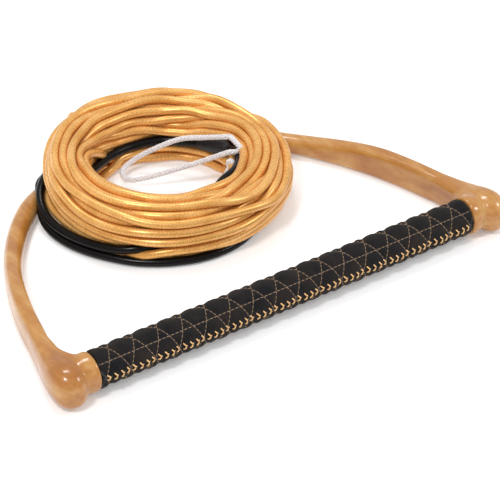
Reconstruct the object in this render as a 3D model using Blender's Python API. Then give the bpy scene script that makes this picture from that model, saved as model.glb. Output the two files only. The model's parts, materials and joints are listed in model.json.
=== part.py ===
"""Tow rope handle for wakeboarding, lying on the floor with its line coiled over the bridle.

Frame: X runs along the bar, Y from the bar towards the bridle's apex, Z is up.
The origin is the bottom centre of the handle itself, without the line.
Everything below is worked out in the bar frame, whose Y is zero on the bar's axis,
and an empty moves it to its place.
"""

import math

import bmesh
import bpy
from mathutils import Matrix, Vector

MM = 0.001
GAP = 0.3 * MM

# Bar and grip
BAR_HEIGHT = 15.0 * MM
TUBE_RADIUS = 9.5 * MM
TUBE_BORE = 8.0 * MM
TUBE_HALF_LENGTH = 162.0 * MM
PLUG_LENGTH = 14.0 * MM
GRIP_HALF_LENGTH = 154.2 * MM
PAD_RADIUS = 12.4 * MM
WRAP_RADIUS = 13.5 * MM
LACE_PITCH = 4.85 * MM
LACE_COUNT = 62
LACE_THICKNESS = 0.5 * MM

# End mouldings: collar, elbow and arm in one
COLLAR_RADIUS = 13.9 * MM
NECK_RADIUS = 12.6 * MM
NECK_END = 174.0 * MM
# Elbow, front to back, in mm: Y, outer X, inner X, bottom, top, squareness of the section
ELBOW_SECTIONS = (
    (-17.5, 178.0, 170.5, 8.0, 18.0, 2.0),
    (-15.0, 182.5, 167.0, 3.5, 23.0, 2.1),
    (-10.0, 186.0, 164.2, 0.6, 27.0, 2.3),
    (-3.0, 187.0, 163.0, -0.4, 28.8, 2.4),
    (6.0, 186.0, 162.5, -0.4, 28.0, 2.5),
    (16.0, 183.2, 162.0, -0.4, 25.6, 2.8),
    (28.0, 179.0, 162.0, -0.4, 23.8, 3.2),
    (42.0, 174.5, 161.3, -0.4, 22.7, 3.6),
)

# Bridle curve seen from above: half of a superellipse from elbow to elbow
BRIDLE_HALF_WIDTH = 171.0 * MM
BRIDLE_DEPTH = 229.0 * MM
BRIDLE_POWER = 1.8
ARM_START_Y = 54.0 * MM
ARM_HEIGHT = 23.0 * MM
ARM_WIDTH = 12.2 * MM
ARM_SLIM_Y = 85.0 * MM
ARM_TUBE = 14.5 * MM
ARM_TIP = 10.8 * MM
ARM_TUBE_Y = 168.0 * MM
ARM_TIP_ANGLE = math.radians(71.0)
FLOOR_CUT = 0.4 * MM
ARM_TAPER_ANGLE = math.radians(58.0)

# Ropes
BRIDLE_ROPE_RADIUS = 3.0 * MM
CHANNEL_RADIUS = 3.35 * MM
ROPE_BEND = 10.0 * MM
LINE_RADIUS = 3.2 * MM
LOOP_CORD_RADIUS = 1.9 * MM

# Yoke and eyes at the apex
YOKE_HALF_WIDTH = 22.0 * MM
YOKE_FRONT = 221.0 * MM
YOKE_BACK = 246.0 * MM
YOKE_HEIGHT = 9.2 * MM
YOKE_ROPE_HEIGHT = 4.9 * MM
EYE_HALF_WIDTH = 10.5 * MM
EYE_CROWN_Y = 270.0 * MM
EYE_CROWN_HEIGHT = 10.2 * MM
RING_RADIUS = 6.6 * MM

# Coil of line
COIL_CENTRE = Vector((9.0 * MM, 160.0 * MM, 7.7 * MM))
COIL_TILT = math.radians(4.5)
COIL_INNER = 59.0 * MM
COIL_PITCH = 6.8 * MM
LAYER_HEIGHT = 7.0 * MM
FIRST_LAYER = 3.5 * MM
# Start and end radius of each layer, in pitches outside the inner radius
LAYERS = ((2, 0), (0, 5), (5, 1), (1, 5), (4.5, 1.5), (2, 4))
STEPS_PER_TURN = 24
CLIMB_STEPS = 4
COIL_START = math.radians(105.0)

# Black sections of the line, in the coil's own frame
TAKEOFF_RADIUS = 89.0 * MM
TAKEOFF_ARC = (math.radians(165.0), math.radians(303.0))
BOAT_END_RADIUS = 50.0 * MM
BOAT_END_HEIGHT = 9.0 * MM
BOAT_END_ARC = (math.radians(-70.0), math.radians(150.0))
KNOT_ANGLE = math.radians(-18.0)
KNOT_OUT = 2.6 * MM
KNOT_OUT_SPREAD = math.radians(22.0)
KNOT_CLIMB = 14.5 * MM
KNOT_CLIMB_SPREAD = math.radians(35.0)
BOOT_ARC = (math.radians(-8.0), math.radians(28.0))
BOOT_RADII = (4.5 * MM, 5.0 * MM)
BOOT_RIB = 0.35 * MM
BOOT_RIBS = 7

# White cord loop at the boat end
LOOP_RING = 6.1 * MM
LOOP_LENGTH_VECTOR = Vector((-63.0 * MM, 57.0 * MM, -26.0 * MM))
LOOP_LEAVE = 34.0 * MM
LOOP_HALF_WIDTH = 11.0 * MM
KNOT_RADIUS = 4.0 * MM
TAIL_LENGTH = 12.0 * MM

UP = Vector((0.0, 0.0, 1.0))
X_AXIS = Vector((1.0, 0.0, 0.0))

# The handle's own box is centred on the origin
HANDLE_FRONT = ELBOW_SECTIONS[0][0] * MM
HANDLE_BACK = EYE_CROWN_Y + BRIDLE_ROPE_RADIUS
BAR_FRAME = Vector((0.0, -(HANDLE_FRONT + HANDLE_BACK) / 2.0, 0.0))


# ---------------------------------------------------------------- small maths

def mix(a, b, t):
    """Value or vector between a and b."""
    return a + (b - a) * t


def smooth(t):
    """Ease from 0 to 1, clamped at both ends."""
    t = min(max(t, 0.0), 1.0)
    return t * t * (3.0 - 2.0 * t)


def steps(count):
    """Evenly spaced fractions from 0 to 1, both included."""
    return [i / count for i in range(count + 1)]


def circle(centre, across, up, radius, sides):
    """Ring of points around centre, in the plane of two unit vectors."""
    ring = []
    for k in range(sides):
        angle = 2.0 * math.pi * k / sides
        ring.append(centre + across * (radius * math.cos(angle)) + up * (radius * math.sin(angle)))
    return ring


def tangents(path, closed):
    """Unit direction of a path at each of its points."""
    result = []
    last = len(path) - 1
    for i in range(len(path)):
        before = path[i - 1] if (closed or i > 0) else path[0]
        after = path[(i + 1) % len(path)] if (closed or i < last) else path[last]
        result.append((after - before).normalized())
    return result


def tube_rings(path, radii, sides, closed=False):
    """Rings of a round tube along a path that is nowhere vertical."""
    rings = []
    for point, direction, radius in zip(path, tangents(path, closed), radii):
        across = direction.cross(UP).normalized()
        rings.append(circle(point, across, across.cross(direction), radius, sides))
    return rings


# ------------------------------------------------------------ scene and meshes

def clear_scene():
    for item in list(bpy.data.objects):
        bpy.data.objects.remove(item, do_unlink=True)


def make_material(name, colour, roughness, metallic=0.0):
    material = bpy.data.materials.new(name)
    material.use_nodes = True
    shader = material.node_tree.nodes["Principled BSDF"]
    shader.inputs["Base Color"].default_value = (*colour, 1.0)
    shader.inputs["Roughness"].default_value = roughness
    shader.inputs["Metallic"].default_value = metallic
    return material


def make_frame(name, location, parent=None, rotation=(0.0, 0.0, 0.0)):
    """Empty that carries other objects, on a joint's axis or at a local origin."""
    empty = bpy.data.objects.new(name, None)
    bpy.context.collection.objects.link(empty)
    empty.parent = parent
    empty.location = location
    empty.rotation_euler = rotation
    return empty


def add_object(name, bm, material=None, parent=None, crease_angle=40.0):
    """Turn a bmesh into a named object with its faces pointing out."""
    bmesh.ops.recalc_face_normals(bm, faces=bm.faces)
    mesh = bpy.data.meshes.new(name)
    bm.to_mesh(mesh)
    bm.free()
    mesh.shade_smooth()
    mesh.set_sharp_from_angle(angle=math.radians(crease_angle))
    if material:
        mesh.materials.append(material)
    item = bpy.data.objects.new(name, mesh)
    bpy.context.collection.objects.link(item)
    item.parent = parent
    return item


def loft(rings, closed=False):
    """Skin a row of equal rings: capped at both ends, or closed on itself."""
    bm = bmesh.new()
    loops = [[bm.verts.new(point) for point in ring] for ring in rings]
    count = len(loops[0])
    pairs = list(zip(loops, loops[1:]))
    if closed:
        pairs.append((loops[-1], loops[0]))
    for first, second in pairs:
        for k in range(count):
            n = (k + 1) % count
            bm.faces.new((first[k], first[n], second[n], second[k]))
    if not closed:
        bm.faces.new(loops[0])
        bm.faces.new(loops[-1])
    return bm


def turned_rings(profile, sides):
    """Rings of a solid of revolution about the bar's axis, from (x, radius) pairs."""
    across = Vector((0.0, 1.0, 0.0))
    return [circle(Vector((x, 0.0, BAR_HEIGHT)), across, UP, radius, sides) for x, radius in profile]


def sleeve(name, x_start, x_end, bore, radius, sides, material, parent):
    """Tube around the bar's axis with a hole right through."""
    profile = ((x_start, radius), (x_end, radius), (x_end, bore), (x_start, bore))
    return add_object(name, loft(turned_rings(profile, sides), closed=True), material, parent)


def rope(name, path, radius, material, parent, sides=6, closed=False):
    """Round rope along a path."""
    rings = tube_rings(path, [radius] * len(path), sides, closed)
    return add_object(name, loft(rings, closed), material, parent)


def hide_helper(item):
    item.hide_render = True
    item.display_type = "WIRE"


def combine(item, other, operation):
    """Join another shape to an object, or cut it out, with an exact Boolean."""
    modifier = item.modifiers.new(other.name, "BOOLEAN")
    modifier.operation = operation
    modifier.object = other
    modifier.solver = "EXACT"
    hide_helper(other)


def box_bmesh(low, high):
    bm = bmesh.new()
    bmesh.ops.create_cube(bm, size=1.0)
    size = high - low
    bmesh.ops.scale(bm, vec=size, verts=bm.verts)
    bmesh.ops.translate(bm, vec=(low + high) / 2.0, verts=bm.verts)
    return bm


def ball_bmesh(centre, radius, segments, rings):
    bm = bmesh.new()
    bmesh.ops.create_uvsphere(bm, u_segments=segments, v_segments=rings, radius=radius)
    bmesh.ops.translate(bm, vec=centre, verts=bm.verts)
    return bm


# ------------------------------------------------------------- bridle geometry

def bridle_point(angle):
    """Plan of the bridle: angle 0 at the right elbow, a quarter turn at the apex."""
    y = BRIDLE_DEPTH * max(math.sin(angle), 0.0) ** (2.0 / BRIDLE_POWER)
    return Vector((BRIDLE_HALF_WIDTH * math.cos(angle), y, 0.0))


def bridle_angle(y):
    """Angle at which the right half of the bridle reaches a given depth."""
    return math.asin((y / BRIDLE_DEPTH) ** (BRIDLE_POWER / 2.0))


def arm_size(angle):
    """Width, height, centre height and squareness of an arm's section."""
    y = bridle_point(angle).y
    slim = smooth((y - ARM_SLIM_Y) / (ARM_TUBE_Y - ARM_SLIM_Y))
    taper = smooth((angle - ARM_TAPER_ANGLE) / (ARM_TIP_ANGLE - ARM_TAPER_ANGLE))
    tube = mix(ARM_TUBE, ARM_TIP, taper)
    height = mix(ARM_HEIGHT, tube, slim)
    width = mix(ARM_WIDTH, tube, slim ** 1.5)
    return width, height, height / 2.0 - FLOOR_CUT, mix(4.0, 2.0, slim)


def bridle_rope_height(angle):
    """Height of the rope's centre in the arms and at the apex."""
    y = bridle_point(angle).y
    in_arm = mix(BAR_HEIGHT, arm_size(angle)[2], smooth((y - ROPE_BEND) / (60.0 * MM)))
    past_tip = smooth((angle - ARM_TIP_ANGLE) / math.radians(10.0))
    return mix(in_arm, YOKE_ROPE_HEIGHT, past_tip)


def superellipse(centre, across, width, height, power, sides):
    ring = []
    for k in range(sides):
        angle = 2.0 * math.pi * (k + 0.5) / sides
        c = math.cos(angle)
        s = math.sin(angle)
        u = math.copysign(abs(c) ** (2.0 / power), c) * width / 2.0
        v = math.copysign(abs(s) ** (2.0 / power), s) * height / 2.0
        ring.append(centre + across * u + UP * v)
    return ring


def table_row(table, place):
    """Catmull-Rom blend of a table's rows at a fractional row number."""
    last = len(table) - 1
    index = min(int(place), last - 1)
    t = place - index
    row = []
    for a, b, c, d in zip(*(table[min(max(index + k, 0), last)] for k in (-1, 0, 1, 2))):
        linear = (c - a) * t + (2 * a - 5 * b + 4 * c - d) * t ** 2
        row.append(b + 0.5 * (linear + (3 * b - a - 3 * c + d) * t ** 3))
    return row


def elbow_rings():
    """Upright sections of the right elbow, from its front to the arm."""
    rings = []
    for t in steps(14):
        y, outer, inner, bottom, top, power = table_row(ELBOW_SECTIONS, t * (len(ELBOW_SECTIONS) - 1))
        centre = Vector(((outer + inner) / 2.0, y, (bottom + top) / 2.0)) * MM
        rings.append(superellipse(centre, X_AXIS, (outer - inner) * MM, (top - bottom) * MM, power, 16))
    return rings


def arm_rings(side):
    """Sections of one elbow and arm, from the elbow's front to the arm's tip."""
    start = bridle_angle(ARM_START_Y)
    rings = [[Vector((side * p.x, p.y, p.z)) for p in ring] for ring in elbow_rings()]
    for t in steps(18):
        angle = mix(start, ARM_TIP_ANGLE, t)
        width, height, centre, power = arm_size(angle)
        point = bridle_point(angle)
        ahead = bridle_point(angle + 0.01) - bridle_point(angle - 0.01)
        across = ahead.cross(UP).normalized()
        ring = superellipse(Vector((point.x, point.y, centre)), across, width, height, power, 16)
        rings.append([Vector((side * p.x, p.y, p.z)) for p in ring])
    return rings


def bridle_half_path():
    """Rope centre line from the middle of the bar round the right side to the apex."""
    path = [Vector((x * TUBE_HALF_LENGTH, 0.0, BAR_HEIGHT)) for x in (0.0, 0.35, 0.7, 0.95)]
    bend_x = BRIDLE_HALF_WIDTH - ROPE_BEND
    for t in steps(5):
        turn = t * math.pi / 2.0
        x = bend_x + ROPE_BEND * math.sin(turn)
        y = ROPE_BEND * (1.0 - math.cos(turn))
        path.append(Vector((x, y, BAR_HEIGHT)))
    first = bridle_angle(ROPE_BEND)
    for t in steps(24)[1:]:
        angle = mix(first, math.pi / 2.0, t)
        point = bridle_point(angle)
        path.append(Vector((point.x, point.y, bridle_rope_height(angle))))
    return path


def bridle_loop_path():
    """Closed centre line of the bridle rope, right half then left half."""
    half = bridle_half_path()
    mirrored = [Vector((-p.x, p.y, p.z)) for p in reversed(half[1:-1])]
    return half + mirrored


# ------------------------------------------------------------------ the handle

def build_bar(parent, materials):
    bore = CHANNEL_RADIUS
    sleeve("bar_tube", -TUBE_HALF_LENGTH, TUBE_HALF_LENGTH, TUBE_BORE, TUBE_RADIUS, 28,
           materials["aluminium"], parent)
    core_end = TUBE_HALF_LENGTH - PLUG_LENGTH - GAP
    sleeve("float_core", -core_end, core_end, bore, TUBE_BORE - GAP, 20, materials["foam"], parent)
    for name, side in (("tube_plug_left", -1), ("tube_plug_right", 1)):
        inner = side * (TUBE_HALF_LENGTH - PLUG_LENGTH)
        outer = side * (TUBE_HALF_LENGTH + 1.0 * MM)
        sleeve(name, inner, outer, bore, TUBE_BORE - GAP, 20, materials["plug"], parent)


def build_grip(parent, materials):
    sleeve("grip_pad", -GRIP_HALF_LENGTH, GRIP_HALF_LENGTH, TUBE_RADIUS + GAP, PAD_RADIUS, 28,
           materials["pad"], parent)
    sleeve("grip_wrap", -GRIP_HALF_LENGTH, GRIP_HALF_LENGTH, PAD_RADIUS + GAP, WRAP_RADIUS, 36,
           materials["suede"], parent)
    build_lacing(parent, materials)


def build_lacing(parent, materials):
    """Fishbone lacing over the wrap's front seam: one thread with a leg pair each pitch."""
    spine = 0.45 * MM
    reach = 2.2 * MM
    sweep_back = 1.9 * MM
    thread = 1.1 * MM
    radius = WRAP_RADIUS + GAP

    def on_seam(x, z):
        return Vector((x, -math.sqrt(radius ** 2 - z ** 2), BAR_HEIGHT + z))

    bm = bmesh.new()

    def quad(corners):
        bm.faces.new([bm.verts.new(on_seam(x, z)) for x, z in corners])

    start = -LACE_PITCH * LACE_COUNT / 2.0
    for k in range(LACE_COUNT):
        x = start + k * LACE_PITCH
        after = x + LACE_PITCH
        leg = x + thread
        quad(((x, -spine), (leg, -spine), (leg, spine), (x, spine)))
        quad(((leg, -spine), (after, -spine), (after, spine), (leg, spine)))
        quad(((x, spine), (leg, spine), (leg - sweep_back, reach), (x - sweep_back, reach)))
        quad(((x, -spine), (x - sweep_back, -reach), (leg - sweep_back, -reach), (leg, -spine)))
    bmesh.ops.remove_doubles(bm, verts=bm.verts, dist=0.00001)
    raised = bmesh.ops.extrude_face_region(bm, geom=list(bm.faces))
    moved = [v for v in raised["geom"] if isinstance(v, bmesh.types.BMVert)]
    bmesh.ops.translate(bm, vec=Vector((0.0, -LACE_THICKNESS, 0.0)), verts=moved)
    add_object("seam_lacing", bm, materials["thread"], parent, crease_angle=30.0)


def build_end_moulding(name, side, parent, materials):
    """Collar, bulging elbow and bridle arm, bored for the bar and the rope."""
    collar_start = GRIP_HALF_LENGTH + 2.0 * GAP
    profile = (
        (collar_start, COLLAR_RADIUS - 0.6 * MM),
        (collar_start + 0.6 * MM, COLLAR_RADIUS),
        (collar_start + 9.5 * MM, COLLAR_RADIUS),
        (collar_start + 12.0 * MM, NECK_RADIUS),
        (NECK_END, NECK_RADIUS),
    )
    collar = loft(turned_rings([(side * x, radius) for x, radius in profile], 28))
    moulding = add_object(name, collar, materials["urethane"], parent)
    arm = add_object(name + "_arm", loft(arm_rings(side)), None, parent)
    combine(moulding, arm, "UNION")
    floor_low = Vector((-0.3, -0.1, -0.02))
    floor_high = Vector((0.3, 0.4, 0.0))
    floor = add_object(name + "_floor_cut", box_bmesh(floor_low, floor_high), None, parent)
    combine(moulding, floor, "DIFFERENCE")
    socket_profile = ((0.9 * GRIP_HALF_LENGTH, TUBE_RADIUS + GAP),
                      (TUBE_HALF_LENGTH + 1.0 * MM + GAP, TUBE_RADIUS + GAP))
    socket_rings = turned_rings([(side * x, radius) for x, radius in socket_profile], 28)
    socket = add_object(name + "_socket", loft(socket_rings), None, parent)
    combine(moulding, socket, "DIFFERENCE")
    path = [Vector((side * p.x, p.y, p.z)) for p in bridle_half_path()[2:]]
    channel_rings = tube_rings(path, [CHANNEL_RADIUS] * len(path), 8)
    channel = add_object(name + "_channel", loft(channel_rings), None, parent)
    combine(moulding, channel, "DIFFERENCE")


def eye_path():
    """U of rope from inside the yoke, up round the crown and back."""
    start = YOKE_BACK - 11.0 * MM
    straight = EYE_CROWN_Y - EYE_HALF_WIDTH
    path = []
    for t in steps(6):
        y = mix(start, straight, t)
        rise = smooth((y - YOKE_BACK) / (straight - YOKE_BACK))
        path.append(Vector((EYE_HALF_WIDTH, y, mix(YOKE_ROPE_HEIGHT, EYE_CROWN_HEIGHT, rise))))
    for t in steps(10)[1:-1]:
        turn = t * math.pi
        x = EYE_HALF_WIDTH * math.cos(turn)
        y = straight + EYE_HALF_WIDTH * math.sin(turn)
        path.append(Vector((x, y, EYE_CROWN_HEIGHT)))
    return path + [Vector((-p.x, p.y, p.z)) for p in reversed(path[:7])]


def build_apex(parent, materials):
    bm = bmesh.new()
    half = YOKE_HALF_WIDTH
    outline = ((-half, YOKE_FRONT + 3.0 * MM), (0.0, YOKE_FRONT), (half, YOKE_FRONT + 3.0 * MM),
               (half, YOKE_FRONT + 14.0 * MM), (0.75 * half, YOKE_BACK), (-0.75 * half, YOKE_BACK),
               (-half, YOKE_FRONT + 14.0 * MM))
    base = bm.faces.new([bm.verts.new((x, y, GAP)) for x, y in outline])
    raised = bmesh.ops.extrude_face_region(bm, geom=[base])
    top = [v for v in raised["geom"] if isinstance(v, bmesh.types.BMVert)]
    bmesh.ops.translate(bm, vec=Vector((0.0, 0.0, YOKE_HEIGHT)), verts=top)
    yoke = add_object("bridle_yoke", bm, materials["urethane"], parent)
    bevel = yoke.modifiers.new("rounded_edges", "BEVEL")
    bevel.width = 1.5 * MM
    bevel.segments = 2
    half_path = bridle_half_path()[-9:]
    through = half_path + [Vector((-p.x, p.y, p.z)) for p in reversed(half_path[:-1])]
    channel_rings = tube_rings(through, [CHANNEL_RADIUS] * len(through), 8)
    combine(yoke, add_object("yoke_channel", loft(channel_rings), None, parent), "DIFFERENCE")
    for name, side in (("yoke_leg_left", -1), ("yoke_leg_right", 1)):
        ends = [Vector((side * EYE_HALF_WIDTH, y, YOKE_ROPE_HEIGHT))
                for y in (YOKE_BACK - 11.5 * MM, YOKE_BACK + 5.0 * MM)]
        leg_rings = tube_rings(ends, [CHANNEL_RADIUS] * 2, 12)
        combine(yoke, add_object(name, loft(leg_rings), None, parent), "DIFFERENCE")
    rope("bridle_rope", bridle_loop_path(), BRIDLE_ROPE_RADIUS, materials["gold_rope"], parent,
         closed=True)
    rope("bridle_eye", eye_path(), BRIDLE_ROPE_RADIUS, materials["gold_rope"], parent, sides=8)


# -------------------------------------------------------------- the coiled line

def polar(radius, angle, height):
    return Vector((radius * math.cos(angle), radius * math.sin(angle), height))


def coil_path(coil_matrix):
    """Line from the eye, into the coil and through every layer of it."""
    path = lead_path(coil_matrix)
    angle = COIL_START
    step = 2.0 * math.pi / STEPS_PER_TURN
    for index, (start, end) in enumerate(LAYERS):
        height = FIRST_LAYER + index * LAYER_HEIGHT
        count = round(abs(end - start) * STEPS_PER_TURN)
        for t in steps(count):
            radius = COIL_INNER + mix(start, end, t) * COIL_PITCH
            path.append(polar(radius, angle, height))
            angle += step
        if index + 1 < len(LAYERS):
            following = LAYERS[index + 1][0]
            for t in steps(CLIMB_STEPS)[1:-1]:
                radius = COIL_INNER + mix(end, following, smooth(t)) * COIL_PITCH
                path.append(polar(radius, angle, height + smooth(t) * LAYER_HEIGHT))
                angle += step
    return path


def lead_path(coil_matrix):
    """Short lead from the mainline's eye to the first turn, in the coil's frame."""
    to_coil = coil_matrix.inverted()
    start = to_coil @ Vector((0.0, lead_start(), EYE_CROWN_HEIGHT))
    step = 2.0 * math.pi / STEPS_PER_TURN
    first_radius = COIL_INNER + LAYERS[0][0] * COIL_PITCH
    end = polar(first_radius, COIL_START - step, FIRST_LAYER)
    heading = polar(1.0, COIL_START - step + math.pi / 2.0, 0.0)
    leave = start + Vector((0.0, -13.0 * MM, 5.5 * MM))
    arrive = end - heading * (12.0 * MM)
    points = []
    for t in steps(7):
        a = mix(start, leave, t)
        b = mix(leave, arrive, t)
        c = mix(arrive, end, t)
        points.append(mix(mix(a, b, t), mix(b, c, t), t))
    return points


def lead_start():
    """Where the lead leaves the mainline's ring, under the sleeve."""
    return EYE_CROWN_Y - RING_RADIUS - BRIDLE_ROPE_RADIUS - 4.0 * GAP


def boat_end_point(angle):
    """The black end runs along the coil's inner wall and climbs outwards to the cord's knot."""
    out = math.exp(-((angle - KNOT_ANGLE) / KNOT_OUT_SPREAD) ** 2)
    climb = math.exp(-((angle - KNOT_ANGLE) / KNOT_CLIMB_SPREAD) ** 2)
    return polar(BOAT_END_RADIUS + KNOT_OUT * out, angle, BOAT_END_HEIGHT + KNOT_CLIMB * climb)


def arc_path(arc, point_at, count):
    return [point_at(mix(arc[0], arc[1], t)) for t in steps(count)]


def build_boot(parent, materials):
    """Ribbed, tapered boot over the black end."""
    count = 4 * BOOT_RIBS
    path = arc_path(BOOT_ARC, boat_end_point, count)
    outer = []
    for k, t in enumerate(steps(count)):
        rib = BOOT_RIB if k % 4 in (1, 2) else 0.0
        outer.append(mix(BOOT_RADII[0], BOOT_RADII[1], t) - BOOT_RIB + rib)
    bore = [LINE_RADIUS + GAP] * len(path)
    rings = tube_rings(path, outer, 10) + list(reversed(tube_rings(path, bore, 10)))
    add_object("end_boot", loft(rings, closed=True), materials["black_rubber"], parent)


def build_line(swing_axis, coil_frame, coil_matrix, materials):
    ring = []
    for k in range(16):
        turn = 2.0 * math.pi * k / 16
        outward = Vector((0.0, math.cos(turn), math.sin(turn)))
        ring.append(circle(outward * RING_RADIUS, X_AXIS, outward, BRIDLE_ROPE_RADIUS, 8))
    add_object("mainline_eye", loft(ring, closed=True), materials["gold_rope"], swing_axis)

    line = coil_path(coil_matrix)
    rope("mainline", line, LINE_RADIUS, materials["gold_rope"], coil_frame)
    sleeve_path = line[0:3]
    outer = [5.0 * MM, 5.0 * MM, 4.6 * MM]
    bore = [LINE_RADIUS + GAP] * 3
    rings = tube_rings(sleeve_path, outer, 10) + list(reversed(tube_rings(sleeve_path, bore, 10)))
    add_object("eye_sleeve", loft(rings, closed=True), materials["black_rubber"], coil_frame)

    takeoff = arc_path(TAKEOFF_ARC, lambda angle: polar(TAKEOFF_RADIUS, angle, FIRST_LAYER), 14)
    rope("takeoff_section", takeoff, LINE_RADIUS, materials["black_rope"], coil_frame)
    boat_end = arc_path(BOAT_END_ARC, boat_end_point, 30)
    rope("boat_end_section", boat_end, LINE_RADIUS, materials["black_rope"], coil_frame, sides=8)
    build_boot(coil_frame, materials)


# ------------------------------------------------------------- white cord loop

def loop_axis(coil_matrix):
    """Point and direction of the black end where the cord loop goes round it."""
    point = coil_matrix @ boat_end_point(KNOT_ANGLE)
    direction = coil_matrix.to_3x3() @ polar(1.0, KNOT_ANGLE + math.pi / 2.0, 0.0)
    return point, direction


def loop_path(direction):
    """Closed cord: a half ring round the black end, then two legs that lie down flat."""
    outward = direction.cross(UP).normalized()
    above = outward.cross(direction)
    far_end = LOOP_LENGTH_VECTOR
    leave = -outward * LOOP_LEAVE
    side_way = far_end.cross(UP).normalized()

    def middle(t):
        return mix(mix(Vector(), leave, t), mix(leave, far_end, t), t)

    def spread(t):
        twist = smooth(t / 0.45) * math.pi / 2.0
        wide = mix(LOOP_RING, LOOP_HALF_WIDTH, smooth(t / 0.6))
        end = (t - 0.72) / 0.28
        if end > 0.0:
            wide *= math.sqrt(max(1.0 - end * end, 0.0))
        return (above * math.cos(twist) + side_way * math.sin(twist)) * wide

    legs = [0.07 * k for k in range(11)] + [0.80, 0.87, 0.93, 0.975]
    path = []
    for k in range(1, 6):
        turn = math.pi * k / 6.0
        path.append(outward * (LOOP_RING * math.sin(turn)) - above * (LOOP_RING * math.cos(turn)))
    path += [middle(t) + spread(t) for t in legs]
    path.append(middle(1.0))
    path += [middle(t) - spread(t) for t in reversed(legs)]
    return path


def rope_frames_any_way(path, radius, sides):
    """Closed tube whose path may be vertical: each ring is carried over from the last."""
    directions = tangents(path, True)
    across = directions[0].orthogonal().normalized()
    rings = []
    for point, direction in zip(path, directions):
        across = (across - direction * across.dot(direction)).normalized()
        rings.append(circle(point, across, across.cross(direction), radius, sides))
    return rings


def best_start(first, last):
    """Shift that lines up the first ring with the last one, to close a tube untwisted."""
    count = len(first)
    costs = []
    for shift in range(count):
        costs.append(sum((first[(k + shift) % count] - last[k]).length for k in range(count)))
    return costs.index(min(costs))


def closed_tube(path, radius, sides):
    """Closed tube with the leftover twist taken up between the last ring and the first."""
    rings = rope_frames_any_way(path, radius, sides)
    shift = best_start(rings[0], rings[-1])
    bm = bmesh.new()
    loops = [[bm.verts.new(point) for point in ring] for ring in rings]
    for index, first in enumerate(loops):
        second = loops[(index + 1) % len(loops)]
        offset = shift if index + 1 == len(loops) else 0
        for k in range(sides):
            n = (k + 1) % sides
            bm.faces.new((first[k], first[n], second[(n + offset) % sides], second[(k + offset) % sides]))
    return bm


def build_boat_loop(axis_frame, direction, materials):
    path = loop_path(direction)
    cord = add_object("boat_loop", closed_tube(path, LOOP_CORD_RADIUS, 6), materials["white_cord"],
                      axis_frame)
    knot_at = path[-3]
    knot = add_object("boat_loop_knot", ball_bmesh(knot_at, KNOT_RADIUS, 12, 8), None, axis_frame)
    tail_end = knot_at + Vector((-0.4, -0.5, -0.5)).normalized() * TAIL_LENGTH
    tail_rings = tube_rings([knot_at, tail_end], [LOOP_CORD_RADIUS] * 2, 6)
    tail = add_object("boat_loop_tail", loft(tail_rings), None, axis_frame)
    combine(cord, knot, "UNION")
    combine(cord, tail, "UNION")


# ---------------------------------------------------------------------- model

def build_materials():
    return {
        "urethane": make_material("urethane", (0.55, 0.27, 0.09), 0.25),
        "aluminium": make_material("aluminium", (0.75, 0.76, 0.78), 0.35, 1.0),
        "foam": make_material("foam", (0.75, 0.73, 0.68), 0.9),
        "plug": make_material("plug", (0.03, 0.03, 0.03), 0.5),
        "pad": make_material("pad", (0.04, 0.04, 0.045), 0.85),
        "suede": make_material("suede", (0.022, 0.02, 0.02), 0.95),
        "thread": make_material("thread", (0.75, 0.42, 0.12), 0.6),
        "gold_rope": make_material("gold_rope", (0.8, 0.45, 0.14), 0.35),
        "black_rope": make_material("black_rope", (0.012, 0.011, 0.011), 0.22),
        "black_rubber": make_material("black_rubber", (0.02, 0.02, 0.022), 0.6),
        "white_cord": make_material("white_cord", (0.8, 0.78, 0.77), 0.7),
    }


def main():
    clear_scene()
    materials = build_materials()
    bar_frame = make_frame("bar_frame", BAR_FRAME)
    build_bar(bar_frame, materials)
    build_grip(bar_frame, materials)
    build_end_moulding("end_moulding_left", -1, bar_frame, materials)
    build_end_moulding("end_moulding_right", 1, bar_frame, materials)
    build_apex(bar_frame, materials)

    crown = Vector((0.0, EYE_CROWN_Y, EYE_CROWN_HEIGHT))
    swing_axis = make_frame("rope_swing_axis", crown, bar_frame)
    coil_frame = make_frame("coil_frame", COIL_CENTRE - crown, swing_axis, (COIL_TILT, 0.0, 0.0))
    coil_matrix = Matrix.Translation(COIL_CENTRE) @ Matrix.Rotation(COIL_TILT, 4, "X")
    build_line(swing_axis, coil_frame, coil_matrix, materials)

    point, direction = loop_axis(coil_matrix)
    loop_frame = make_frame("boat_loop_axis", point - crown, swing_axis)
    build_boat_loop(loop_frame, direction, materials)


main()
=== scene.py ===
"""Looks of the tow rope handle: quilted suede grip, urethane mouldings and a coil of coated rope.

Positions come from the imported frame. Lengths are in metres.
"""

import json
import math

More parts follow.
